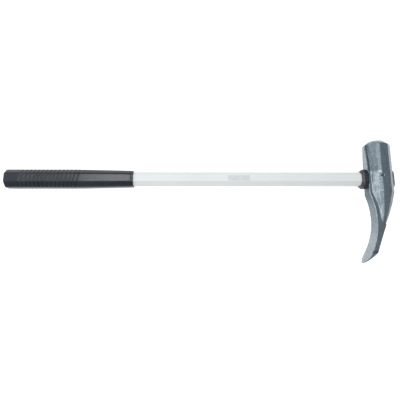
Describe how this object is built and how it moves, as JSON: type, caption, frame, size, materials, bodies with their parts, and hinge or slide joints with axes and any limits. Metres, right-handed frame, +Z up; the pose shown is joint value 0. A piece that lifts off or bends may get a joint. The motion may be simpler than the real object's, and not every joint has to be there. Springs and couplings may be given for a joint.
{
  "type": "tyre bead hammer",
  "caption": "Long-handled tyre bead hammer: octagonal poll, curved duck-bill wedge blade, white fibreglass shaft, black rubber grip and collar.",
  "frame": {"origin": "on the floor under the point where the handle axis meets the head axis: the lower cheek's flat at z = 0, with the tool lying on its cheek", "axes": "+X along the handle towards the head, +Y along the head towards the poll, +Z up out of the upper cheek"},
  "size_m": [0.7562, 0.2395, 0.0475],
  "materials": {
    "forged_steel": "forged scale, satin, bluish grey",
    "fibreglass": "pultruded rod, satin",
    "white_jacket": "smooth, slightly glossy off-white",
    "resin": "cast, dark",
    "grey_plastic": "satin, mid grey",
    "black_rubber": "moulded, satin",
    "grip_rubber": "moulded, charcoal, satin",
    "pin_steel": "dull",
    "label_film": "thin printed film, left blank"
  },
  "bodies": {
    "root": {"forged_head": "forged_steel", "handle_core": "fibreglass", "handle_jacket": "white_jacket", "eye_seal_washer": "black_rubber", "eye_resin": "resin", "eye_end_cap": "grey_plastic", "retaining_pin": "pin_steel", "overstrike_collar": "black_rubber", "grip_sleeve": "grip_rubber", "shaft_label": "label_film"}
  },
  "joints": []
}
